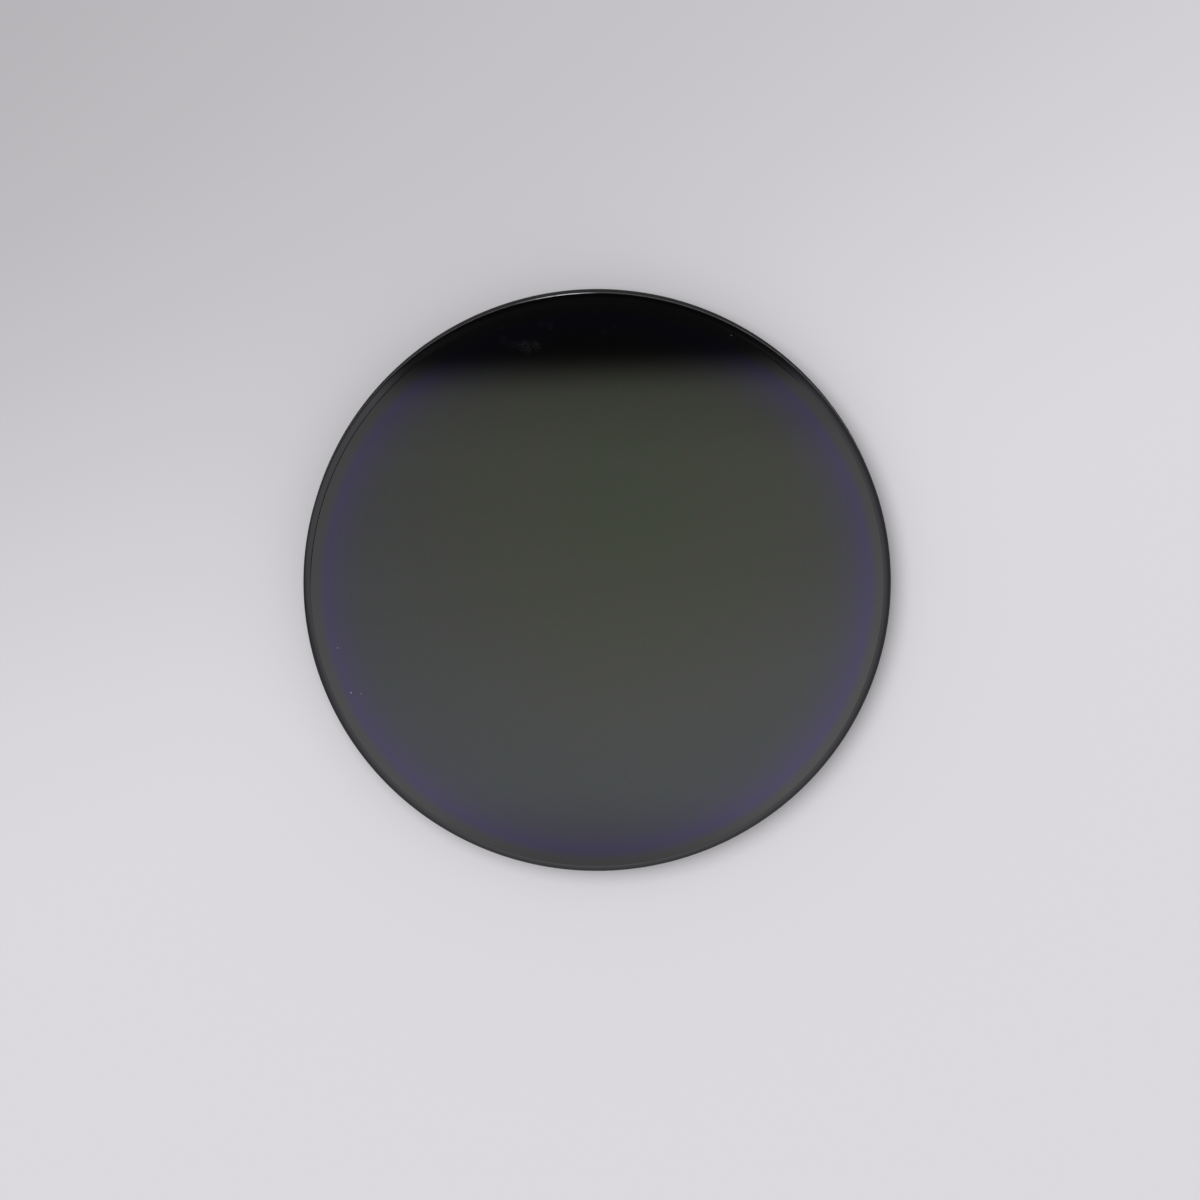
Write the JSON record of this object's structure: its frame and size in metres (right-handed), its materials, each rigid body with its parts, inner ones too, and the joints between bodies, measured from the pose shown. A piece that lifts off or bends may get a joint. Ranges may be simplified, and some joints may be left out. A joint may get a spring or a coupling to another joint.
{
  "type": "optical window",
  "caption": "Round flat window for an infrared lens or camera port: a dark coated disc, polished on both faces, with a ground rim and a fine bevel round each face.",
  "frame": {"origin": "centre of the back face, which lies on the floor", "axes": "+Z along the optical axis, from the back face to the front face; +Y is the upper side in the picture"},
  "size_m": [0.0508, 0.0508, 0.004],
  "materials": {
    "coated_window": "polished and coated on both faces, dark and opaque to the eye, with a faint violet ring near the edge; fine ground rim and bevels"
  },
  "bodies": {
    "root": {"window": "coated_window"}
  },
  "joints": []
}
